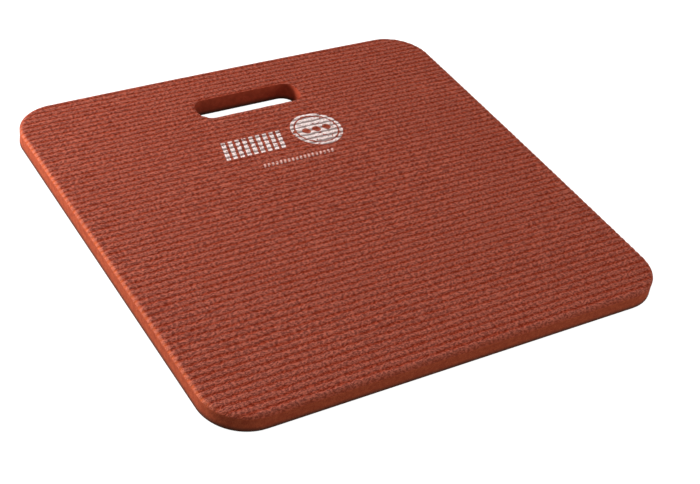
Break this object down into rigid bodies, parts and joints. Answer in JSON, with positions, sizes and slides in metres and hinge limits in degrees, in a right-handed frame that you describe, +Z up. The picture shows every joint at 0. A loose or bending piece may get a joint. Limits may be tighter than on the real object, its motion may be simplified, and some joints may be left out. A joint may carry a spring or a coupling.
{
  "type": "kneeling pad",
  "caption": "Square closed-cell foam kneeling pad with rounded corners, ribs on both faces, a hand slot near one edge and a small white print.",
  "frame": {"origin": "middle of the underside, on the surface the pad lies on", "axes": "+Z up through the thickness, +X along the ribs to the right, +Y across the ribs towards the edge with the hand slot"},
  "size_m": [0.4, 0.4, 0.0152],
  "materials": {
    "foam": "matt cut face of fine closed-cell foam",
    "skin": "matt moulded skin with straight pebbled ribs",
    "ink": "matt white screen ink, worn on the crests"
  },
  "bodies": {
    "root": {"foam_core": "foam", "top_skin": "skin", "bottom_skin": "skin", "badge_ring": "ink", "badge_disc": "ink", "slanted_bars": "ink", "dashed_line": "ink"}
  },
  "joints": []
}
